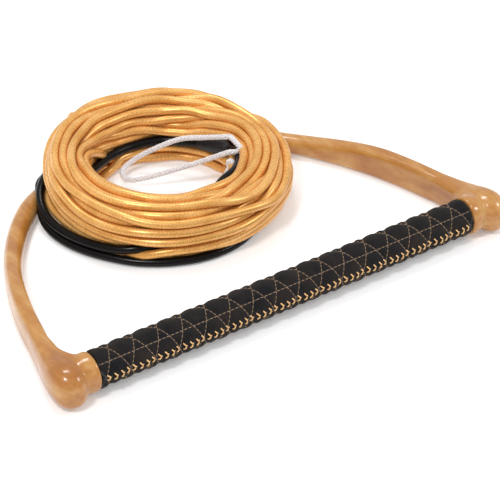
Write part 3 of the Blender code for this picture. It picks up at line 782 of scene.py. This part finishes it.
# Middle and spread in degrees of the stretch, beside the boot, where a coating thickens the black end
COATED = (42.0, 28.0)
KNOT_ANGLE = math.atan2(KNOT[1] - COIL_Y, KNOT[0] - COIL_X)
KNOT_RADIUS = math.hypot(KNOT[1] - COIL_Y, KNOT[0] - COIL_X)


def signed(theta):
    """Angle between half a turn back and half a turn on."""
    return np.mod(theta + math.pi, TAU) - math.pi


def near_angle(theta, degrees, spread):
    """Bell that is 1 at an angle round the coil and fades away from it."""
    away = np.degrees(signed(theta - math.radians(degrees)))
    return np.exp(-(away / spread) ** 2)


def bundle_centre(theta):
    """Middle of the bundle, as (radius, height) pairs."""
    back = 0.5 + 0.5 * np.sin(theta)
    left = near_angle(theta, 150.0, 55.0)
    front = near_angle(theta, 240.0, 45.0)
    radius = COIL_OUTER + (-26.0 + 2.2 * left + 2.0 * front) * MM
    return np.stack([radius, (22.0 - 0.5 * back + 1.5 * left) * MM], -1)


def bundle_size(theta):
    """Half width and half height of the bundle: narrow and tall at the left, broad at the right."""
    width = 19.6 - 3.8 * near_angle(theta, 150.0, 60.0) + 2.2 * near_angle(theta, -35.0, 60.0)
    return np.stack([width * MM, BUNDLE_AREA / width * MM], -1)


# Black end along the coil's inner wall: angle in degrees, radius and height in mm
BOAT_END = np.array((
    (-102.0, 62.0, 26.0),
    (-88.0, 55.5, 32.0),
    (-70.0, 51.0, 34.5),
    (-45.0, 52.0, 32.5),
    (math.degrees(KNOT_ANGLE), KNOT_RADIUS / MM, KNOT[2] / MM),
    (0.0, 51.5, 25.0),
    (26.0, 50.0, 19.5),
    (60.0, 50.0, 17.5),
    (105.0, 50.0, 17.5),
    (130.0, 52.0, 18.5),
    (148.0, 57.0, 21.0),
    (166.0, 64.0, 22.0),
))


def boat_end_place(angle):
    """Radius and height of the black end, which climbs to the knot and on over the front turns."""
    course = catmull(BOAT_END, 8)
    degrees = np.degrees(angle)
    return np.stack([np.interp(degrees, course[:, 0], course[:, k]) * MM for k in (1, 2)], -1)


def arm_obstacle(theta):
    """Where the bridle passes under the coil: distance from its middle and radius of the arm."""
    sample = np.linspace(math.radians(30.0), math.radians(150.0), 400)
    offset = bridle_point(sample)[:, :2] - np.array([COIL_X, COIL_Y])
    angle = np.mod(np.arctan2(offset[:, 1], offset[:, 0]), TAU)
    rho = np.hypot(offset[:, 0], offset[:, 1])
    order = np.argsort(angle)
    theta = np.mod(theta, TAU)
    radius_at = np.interp(theta, angle[order], rho[order], left=1.0, right=1.0)
    bridle = np.interp(theta, angle[order], np.minimum(sample, math.pi - sample)[order])
    thin = smooth((bridle - ARM_TAPER_ANGLE) / math.radians(16.0))
    return radius_at, mix(TUBE_THICKNESS / 2.0, TIP_THICKNESS / 2.0, thin)


def slot_path():
    """Rope positions in the bundle's section, turn by turn: up one column and down the next."""
    slots = []
    for column, count in enumerate(COLUMNS):
        out = (column - (len(COLUMNS) - 1) / 2.0) * 2.0 * CONTACT
        heights = (np.arange(count) - (count - 1) / 2.0) * 2.0 * CONTACT
        if column % 2:
            heights = heights[::-1]
        slots += [(out, height) for height in heights]
    return np.array(slots)


def smooth_noise(count, spacing, size):
    """Slow random wander of a strand across the bundle."""
    values = RANDOM.normal(0.0, size, (count // spacing + 3, 2))
    return catmull(values, spacing)[:count]


# Turns that stay low on the inner wall at the back: radius and height in mm
LOW_TURNS = ((52.5, 9.8), (51.5, 3.4), (58.0, 3.4), (60.0, 9.8))
LOW_HOLD = 0.09

# Takeoff strands: first and last angle in degrees, distance inside the outermost place and height in mm,
# and the degrees over which the last end slips in under the gold turns
TAKEOFF_STRANDS = ((138.0, 304.0, 0.0, 3.4, 56.0), (146.0, 244.0, 1.5, 9.8, 26.0))
FIRST_SLIP = 10.0
TUCK = 10.0 * MM


def black_strands(theta):
    """The takeoff strands low on the outside, tucked in at both ends, and NaN beyond them."""
    strands = np.full((2, STATIONS, 2), np.nan)
    degrees = np.degrees(np.mod(theta, TAU))
    for index, (start, end, inset, up, slip) in enumerate(TAKEOFF_STRANDS):
        inside = (degrees >= start) & (degrees <= end)
        here = degrees[inside]
        rho = COIL_OUTER + (-9.0 + 10.0 * near_angle(theta[inside], 165.0, 42.0) - inset) * MM
        over_arm = 11.0 * MM * near_angle(theta[inside], 146.0, 16.0)
        hidden = 1.0 - np.minimum(smooth((here - start) / FIRST_SLIP), smooth((end - here) / slip))
        strands[index, inside] = np.stack([rho - TUCK * hidden, up * MM + over_arm], -1)
    return strands


def boat_end_discs(theta):
    """Fixed discs of the black end and its boot, and their sizes, which fade out at the far end."""
    angle = signed(theta)
    place = boat_end_place(angle)
    present = (angle > BOAT_ARC[0]) & (angle < BOAT_ARC[1])
    place[~present] = np.nan
    boot = (angle > BOOT_ARC[0]) & (angle < BOOT_ARC[1])
    rope = CONTACT + 0.7 * MM * near_angle(theta, *COATED)
    fading = 1.0 - smooth((np.degrees(angle) - 112.0) / 24.0)
    size = np.where(boot, 5.6 * MM, rope * fading)
    return place[None], size[None]


def repel(discs, sizes):
    """Push apart the discs of each station that cross one another."""
    difference = discs[:, None] - discs[None, :]
    distance = np.linalg.norm(difference, axis=-1)
    overlap = np.nan_to_num(np.clip(sizes[:, None] + sizes[None, :] - distance, 0.0, None))
    safe = np.where(distance > 1e-9, distance, np.inf)
    push = np.nan_to_num(difference / safe[..., None]) * overlap[..., None]
    return push.sum(axis=1) * PUSH_APART


def lift_clear(discs, theta, arms):
    """Keep discs off the floor, the yoke and the bridle's arms."""
    rho, height = discs[..., 0], discs[..., 1]
    x = COIL_X + rho * np.cos(theta)
    y = COIL_Y + rho * np.sin(theta)
    over_yoke = (x > YOKE_LOW.x - CONTACT) & (x < YOKE_HIGH.x + CONTACT)
    over_yoke &= (y > YOKE_LOW.y - CONTACT) & (y < YOKE_HIGH.y + CONTACT)
    lowest = np.where(over_yoke, YOKE_HIGH.z + CONTACT, CONTACT + 0.1 * MM)
    arm_rho, arm_size = arms
    away = np.stack([rho - arm_rho, height - arm_size], -1)
    distance = np.linalg.norm(away, axis=-1)
    depth = np.nan_to_num(np.clip(arm_size + CONTACT + 0.2 * MM - distance, 0.0, None))
    direction = unit(np.nan_to_num(away) + np.array([0.0, 2.0 * MM]))
    moved = discs + direction * depth[..., None]
    moved[..., 1] = np.fmax(moved[..., 1], lowest)
    return moved


def straighten(line):
    """Bending stiffness along the rope, as a small move of each point."""
    move = np.zeros_like(line)
    move[2:-2] = (4 * (line[1:-3] + line[3:-1]) - (line[:-4] + line[4:]) - 6 * line[2:-2]) / 16.0
    move[1:-1] += 0.12 * (line[:-2] + line[2:] - 2 * line[1:-1])
    return move


def wound_line(angles):
    """Path of the line before it settles, as (radius, height) pairs."""
    slots = slot_path()
    place = np.arange(len(angles)) / STATIONS - 0.5
    across = np.stack([np.interp(place, np.arange(len(slots)), slots[:, k]) for k in (0, 1)], -1)
    size = bundle_size(angles)
    line = bundle_centre(angles) + across * size / size.mean()
    return line + smooth_noise(len(angles), WANDER_STATIONS, WANDER)


def held_stretches(angles):
    """Stretches of the line that are drawn to a place: which, where to and how firmly."""
    tuck = smooth(np.arange(TUCKED_STATIONS) / TUCKED_STATIONS)[:, None]
    tucked = bundle_centre(angles) + bundle_size(angles) * np.array([0.35, -0.45])
    low = slice(0, len(LOW_TURNS) * STATIONS)
    low_target = np.repeat(np.array(LOW_TURNS) * MM, STATIONS, axis=0)
    low_hold = LOW_HOLD * smooth(np.sin(angles[low]) * 1.6)[:, None]
    low_hold[:TUCKED_STATIONS] *= tuck
    head, tail = slice(0, TUCKED_STATIONS), slice(-TUCKED_STATIONS, None)
    return (low, low_target, low_hold), (head, tucked[head], 1.0 - tuck), (tail, tucked[tail], tuck)


def draw(line, stretch, share=1.0):
    """Move a stretch of the line towards its place."""
    part, target, hold = stretch
    line[part] += share * hold * (target - line[part])


def settle_black(strands, target):
    """Draw the takeoff strands back to their course, and smooth them along it."""
    strands += BLACK_HOLD * (target - strands)
    middle = 0.25 * (strands[:, :-2] + strands[:, 2:]) + 0.5 * strands[:, 1:-1]
    strands[:, 1:-1] = np.where(np.isnan(middle), strands[:, 1:-1], middle)
    return strands


def relax_coil():
    """Settle the turns: each point of the rope is a disc in the plane of its station."""
    total = TURNS * STATIONS + TAIL_STATIONS
    angles = (np.arange(total) / STATIONS + COIL_START / STATIONS) * TAU
    theta = (np.arange(STATIONS) + COIL_START) * TAU / STATIONS
    line = wound_line(angles)
    low, head, tail = held_stretches(angles)
    draw(line, head)
    black_target = black_strands(theta)
    black = black_target.copy()
    boat, boat_size = boat_end_discs(theta)
    centre = bundle_centre(theta)[None]
    half = bundle_size(theta)[None]
    lean = np.clip(np.sin(theta), 0.0, 1.0)[None] * 0.45
    arms = arm_obstacle(theta)
    padded = np.full(((TURNS + 1) * STATIONS, 2), np.nan)
    sizes = np.concatenate([np.full((TURNS + 3, STATIONS), CONTACT), boat_size])
    for step in range(RELAX_STEPS):
        padded[:total] = line
        discs = np.concatenate([padded.reshape(TURNS + 1, STATIONS, 2), black, boat])
        inward = centre - discs
        inward[..., 1] -= lean * inward[..., 0]
        inward *= half.mean() ** 2 / half ** 2
        pull = PULL if step < RELAX_STEPS * 0.75 else LAST_PULL
        moved = lift_clear(discs + repel(discs, sizes) + pull * inward, theta, arms)
        line = moved[:TURNS + 1].reshape(-1, 2)[:total]
        line = line + STIFFNESS * straighten(line)
        draw(line, low)
        draw(line, head, END_HOLD)
        draw(line, tail, END_HOLD)
        black = settle_black(moved[TURNS + 1:TURNS + 3], black_target)
    return angles, line, theta, black


def coil_to_space(theta, plane):
    """Points in space from station angles and (radius, height) pairs."""
    x = COIL_X + plane[:, 0] * np.cos(theta)
    y = COIL_Y + plane[:, 0] * np.sin(theta)
    return np.stack([x, y, plane[:, 1]], -1)


def lead_points(path):
    """Bezier curve from the mainline's ring to the start of the coil."""
    start = np.array([0.0, RING_LOW.y - 1.0 * MM, (RING_LOW.z + RING_HIGH.z) / 2.0])
    leave = start + np.array([0.0, -14.0, 5.5]) * MM
    arrive = path[0] - unit(path[1] - path[0]) * 14.0 * MM
    t = np.linspace(0.0, 1.0, 14, endpoint=False)[:, None]
    curve = (1 - t) ** 3 * start + 3 * (1 - t) ** 2 * t * leave
    return curve + 3 * (1 - t) * t ** 2 * arrive + t ** 3 * path[0]


def build_coil():
    """Gold line, black takeoff strands and the sleeve at the line's start."""
    angles, line, theta, black = relax_coil()
    path = catmull(coil_to_space(angles, line), 2)
    lead = lead_points(path)
    line_path = np.concatenate([lead, path])
    add_tube("gold_coil", line_path, ROPE_RADIUS, "tow_rope", "gold_rope", "mainline", 12)
    order = np.argsort(np.mod(theta, TAU))
    shapes = []
    for strand in black:
        present = [k for k in order if not np.isnan(strand[k, 0])]
        points = catmull(coil_to_space(theta[present], strand[present]), 2)
        shapes.append(tube_grid(points, ROPE_RADIUS, 14))
    takeoff = make_joined("black_takeoff", shapes, "black_rope")
    stand_for(takeoff, "tow_rope", "black_rope", "takeoff_section")
    add_tube("throat_sleeve", lead[1:8], SLEEVE_RADIUS, "tow_rope", "black_rubber", "eye_sleeve", 20)


# ---- black end and its boot

BOOT_RIBS = 15
RIB_HEIGHT = 0.42 * MM
BOOT_LIP = 3.4 * MM
COATING = 1.1 * MM


def build_boat_end():
    """Black end, thickest in its coated stretch."""
    angle = np.linspace(*BOAT_ARC, 120)
    path = coil_to_space(angle, boat_end_place(angle))
    radius = ROPE_RADIUS + COATING * near_angle(angle, *COATED)
    add_tube("black_end", path, radius, "tow_rope", "black_rope", "boat_end_section")


def build_boot():
    """Ribbed boot over the black end, thickest in its middle and slim at both ends."""
    count = 12 * BOOT_RIBS
    angle = np.linspace(*BOOT_ARC, count)
    t = np.linspace(0.0, 1.0, count)
    body = (3.7 + 2.3 * np.sin(math.pi * t ** 0.8)) * MM
    ribs = RIB_HEIGHT * np.sqrt(np.abs(np.sin(t * BOOT_RIBS * math.pi)))
    ends = np.minimum(smooth(t * 12.0), smooth((1.0 - t) * 9.0))
    radius = mix(BOOT_LIP, body + ribs, ends)
    path = coil_to_space(angle, boat_end_place(angle))
    add_tube("ribbed_boot", path, radius, "tow_rope", "black_rubber", "end_boot", 20)


# ---- white cord loop

CORD_RADIUS = 1.85 * MM
PLIES = 8
PLY_RADIUS = 0.56 * MM
PLY_PITCH = 11.0 * MM
# How far a ply rises where it passes over another
PLY_LIFT = 0.16 * MM
KNOT_TURN = 2.3 * MM
FRAY = 1.3 * MM

# Places in mm from the joint: towards the coil's middle, up, and along the black end
STOPPER = (7.8, -1.1, -10.5)
HITCH_OUT = (
    (4.4, -2.9, -9.5), (-1.0, -5.6, -8.8), (-5.9, -1.6, -9.0), (-4.6, 4.4, -9.8), (-2.2, 7.2, -9.6),
    (0.0, 8.9, -3.6), (2.2, 9.6, 4.4), (3.6, 9.4, 7.6), (7.4, 8.8, 9.2),
)
HITCH_BACK = (
    (9.0, 4.2, -4.0), (3.8, 5.2, -5.8), (-1.5, 5.3, -5.2), (-5.3, 1.3, -4.6), (-2.5, -4.8, -4.6),
    (2.8, -4.7, -6.5),
)
TAIL = ((9.4, -3.8, -11.6), (10.8, -6.5, -12.8), (12.4, -9.5, -14.0))
# The loop's two legs: share of the way to its far end, distance aside and height in mm
LEGS = (
    (0.30, -13.0, 32.5), (0.52, -16.5, 27.5), (0.76, -15.5, 17.5), (0.93, -10.0, 10.0), (1.0, 0.0, 6.5),
    (0.93, 8.5, 5.5), (0.76, 10.0, 9.5), (0.52, 7.5, 16.5), (0.30, 4.5, 23.0),
)
LOOP_REACH = np.array([-63.0, 57.0, 0.0]) * MM


def braided_cord(path, radius, fray=0.0):
    """Round braid: two sets of helical plies that pass over and under each other, and may fray apart."""
    side, up = path_frames(path, False)
    length = arc_length(path)
    shapes = [tube_grid(path, radius * 0.72, 8)]
    for k in range(PLIES):
        way = 1.0 if k % 2 else -1.0
        turn = way * length / PLY_PITCH * TAU + (k // 2) * TAU / (PLIES / 2.0)
        weave = np.cos(turn * way * PLIES / 2.0 + (0.0 if k % 2 else math.pi)) * PLY_LIFT
        reach = radius - PLY_RADIUS * 0.75 + weave + fray * np.linspace(0.0, 1.0, len(path)) ** 3
        centre = path + side * (np.cos(turn) * reach)[:, None] + up * (np.sin(turn) * reach)[:, None]
        shapes.append(tube_grid(centre, PLY_RADIUS, 6))
    return shapes


def build_boat_loop():
    """Cord loop tied round the black end, its stopper knot and its frayed tail.

    The hitch and knot stay on the black end, and the legs bend up beyond them.
    """
    axis = unit(np.array(LOOP_SWING["axis"]))
    out = unit(np.cross(axis, UP))
    above = np.cross(out, axis)
    course = unit(LOOP_REACH)
    beside = np.cross(UP, course)

    def near(inward, rise, along):
        return KNOT - out * inward * MM + above * rise * MM + axis * along * MM

    def lying(share, aside, height):
        point = KNOT + LOOP_REACH * share + beside * aside * MM
        return np.array([point[0], point[1], height * MM])

    knot = near(*STOPPER)
    points = [knot]
    points += [near(*place) for place in HITCH_OUT]
    points += [lying(*place) for place in LEGS]
    points += [near(*place) for place in HITCH_BACK]
    shapes = braided_cord(catmull(points + [knot], 20), CORD_RADIUS)
    for k in range(3):
        tilt = k * math.pi / 3.0 + 0.4
        first = above * math.cos(tilt) + axis * math.sin(tilt)
        second = unit(np.cross(first, out * 0.8 + axis * 0.6))
        turn = np.linspace(0.0, TAU, 28)[:, None]
        ring = knot + (first * np.cos(turn) + second * np.sin(turn)) * KNOT_TURN
        shapes += braided_cord(ring, CORD_RADIUS * 0.85)
    tail = [knot] + [near(*place) for place in TAIL]
    shapes += braided_cord(catmull(tail, 8), CORD_RADIUS * 0.9, FRAY)
    loop = make_joined("braided_loop", shapes, "white_cord")
    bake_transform(loop)
    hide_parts("boat_loop")


# ---- bridle's apex

BRIDLE_ROPE = 3.0 * MM
YOKE_ROPE_HEIGHT = 4.9 * MM


def build_bridle_rope():
    """Closed rope through the bar, elbows, arms and yoke."""
    bend = 10.0 * MM
    half = [np.array([x * TUBE_END, BAR_Y, BAR_Z]) for x in (0.0, 0.35, 0.7, 0.95)]
    for turn in np.linspace(0.0, math.pi / 2.0, 6):
        x = BRIDLE_HALF_WIDTH - bend + bend * math.sin(turn)
        half.append(np.array([x, BAR_Y + bend * (1.0 - math.cos(turn)), BAR_Z]))
    for angle in np.linspace(bridle_angle(bend), math.pi / 2.0, 60)[1:]:
        point = bridle_point(angle)
        height = arm_section(point[1] - BAR_Y, angle)[1]
        in_arm = mix(BAR_Z, height / 2.0 - 0.4 * MM, smooth((point[1] - BAR_Y - bend) / (60.0 * MM)))
        point[2] = mix(in_arm, YOKE_ROPE_HEIGHT, smooth((angle - ARM_TIP_ANGLE) / math.radians(10.0)))
        half.append(point)
    half = np.array(half)
    path = np.concatenate([half, half[-2:0:-1] * MIRROR])
    add_tube("bridle_core_rope", path, BRIDLE_ROPE, "handle", "gold_rope", "bridle_rope", closed=True)


def build_yoke():
    """Moulded block round the bridle rope, rounded off at its front and back."""
    low, high = YOKE_LOW, YOKE_HIGH
    middle = (high.x + low.x) / 2.0
    depth = high.y - low.y
    rings = []
    for t in np.linspace(0.0, 1.0, 15):
        ease = math.sqrt(max(1.0 - (2.0 * t - 1.0) ** 6, 0.02))
        width = (high.x - low.x) * mix(1.0, 0.8, smooth(t * 1.4 - 0.4)) * mix(0.86, 1.0, ease)
        height = (high.z - low.z) * mix(0.7, 1.0, ease)
        centre = np.array([middle, low.y + depth * t, low.z + (high.z - low.z) / 2.0])
        rings.append(superellipse_ring(centre, RIGHT, width, height, 3.4))
    yoke = make_piece("moulded_yoke", *loft_shape(rings)[:2], "urethane", sharp=50.0)
    stand_for(yoke, "handle", "urethane", "bridle_yoke")


def build_eye():
    """U of rope that leaves the yoke, for the line to be fastened to."""
    half_width = (EYE_HIGH.x - EYE_LOW.x) / 2.0 - BRIDLE_ROPE
    crown_y = EYE_HIGH.y - BRIDLE_ROPE
    crown_z = EYE_HIGH.z - BRIDLE_ROPE
    straight = crown_y - half_width
    leg = []
    for t in np.linspace(0.0, 1.0, 12):
        y = mix(EYE_LOW.y, straight, t)
        rise = smooth((y - YOKE_HIGH.y) / (straight - YOKE_HIGH.y))
        leg.append([half_width, y, mix(YOKE_ROPE_HEIGHT, crown_z, rise)])
    turn = np.linspace(0.0, math.pi, 18)[1:-1]
    bow_y = straight + half_width * np.sin(turn)
    bow = np.stack([half_width * np.cos(turn), bow_y, crown_z + 0.0 * turn], -1)
    path = np.concatenate([leg, bow, np.array(leg)[::-1] * MIRROR])
    add_tube("rope_eye", path, BRIDLE_ROPE, "handle", "gold_rope", "bridle_eye")


def build_ring():
    """The mainline's ring round the eye."""
    radius = (RING_HIGH.y - RING_LOW.y) / 2.0 - BRIDLE_ROPE
    turn = np.linspace(0.0, TAU, 40, endpoint=False)
    centre = np.array([0.0, (RING_HIGH.y + RING_LOW.y) / 2.0, (RING_HIGH.z + RING_LOW.z) / 2.0])
    path = centre + radius * np.stack([0.0 * turn, np.cos(turn), np.sin(turn)], -1)
    add_tube("line_ring", path, BRIDLE_ROPE, "tow_rope", "gold_rope", "mainline_eye", closed=True)


# ---- the rest

def dress_hidden_nodes():
    """CAD nodes that stay: the bar, its core, plugs and pad."""
    slots = {"bar_tube": "aluminium", "float_core": "foam", "tube_plug_left": "plug",
             "tube_plug_right": "plug", "grip_pad": "pad"}
    for node, slot in slots.items():
        mesh = frame["nodes"][node].data
        mesh.materials.clear()
        mesh.materials.append(MATERIALS[slot])


def build_stage():
    """Floor, a little below the object so that their faces don't meet."""
    size = 12.0
    corners = [(-size, -size, 0.0), (size, -size, 0.0), (size, size, 0.0), (-size, size, 0.0)]
    floor = make_piece("floor", corners, [[0, 1, 2, 3]], "floor")
    floor.location.z = -0.0004


def add_area(name, location, target, size, power):
    light = bpy.data.lights.new(name, "AREA")
    light.shape = "RECTANGLE"
    light.size, light.size_y = size
    light.energy = power
    item = add_object(name, light)
    item.location = location
    item.rotation_euler = (Vector(target) - Vector(location)).to_track_quat("-Z", "Y").to_euler()


def build_lights():
    """Pale surroundings and three soft lamps."""
    world = bpy.data.worlds.new("studio")
    world.use_nodes = True
    background = world.node_tree.nodes["Background"]
    background.inputs["Color"].default_value = (*WHITE, 1.0)
    background.inputs["Strength"].default_value = 0.68
    bpy.context.scene.world = world
    add_area("key", (-0.9, -0.5, 1.5), (0.0, 0.0, 0.0), (0.32, 0.24), 12.0)
    add_area("fill", (1.1, -0.9, 1.1), (0.0, 0.0, 0.0), (0.3, 0.3), 5.0)
    add_area("top", (0.1, 0.5, 1.6), (0.0, 0.05, 0.0), (0.6, 0.3), 8.0)


def build_camera():
    """The view from the front left, 35 degrees above the floor."""
    azimuth, elevation = math.radians(-35.2), math.radians(34.8)
    distance = 1.689
    target = Vector((20.1 * MM, BAR_Y + 70.4 * MM, 0.0))
    level = math.cos(elevation)
    back = Vector((math.sin(azimuth) * level, -math.cos(azimuth) * level, math.sin(elevation)))
    camera = add_object("camera", bpy.data.cameras.new("camera"))
    camera.data.lens = 172.8
    camera.data.sensor_width = 36.0
    camera.data.clip_start = 0.05
    camera.location = target + back * distance
    camera.rotation_euler = (-back).to_track_quat("-Z", "Y").to_euler()
    bpy.context.scene.camera = camera


def main():
    bpy.context.scene.view_settings.view_transform = "Standard"
    dress_hidden_nodes()
    build_wrap()
    build_quilting()
    build_lacing()
    build_moulding("moulding_right", 1.0, "end_moulding_right")
    build_moulding("moulding_left", -1.0, "end_moulding_left")
    build_coil()
    build_boat_end()
    build_boot()
    build_boat_loop()
    build_bridle_rope()
    build_yoke()
    build_eye()
    build_ring()
    build_stage()
    build_lights()
    build_camera()


main()
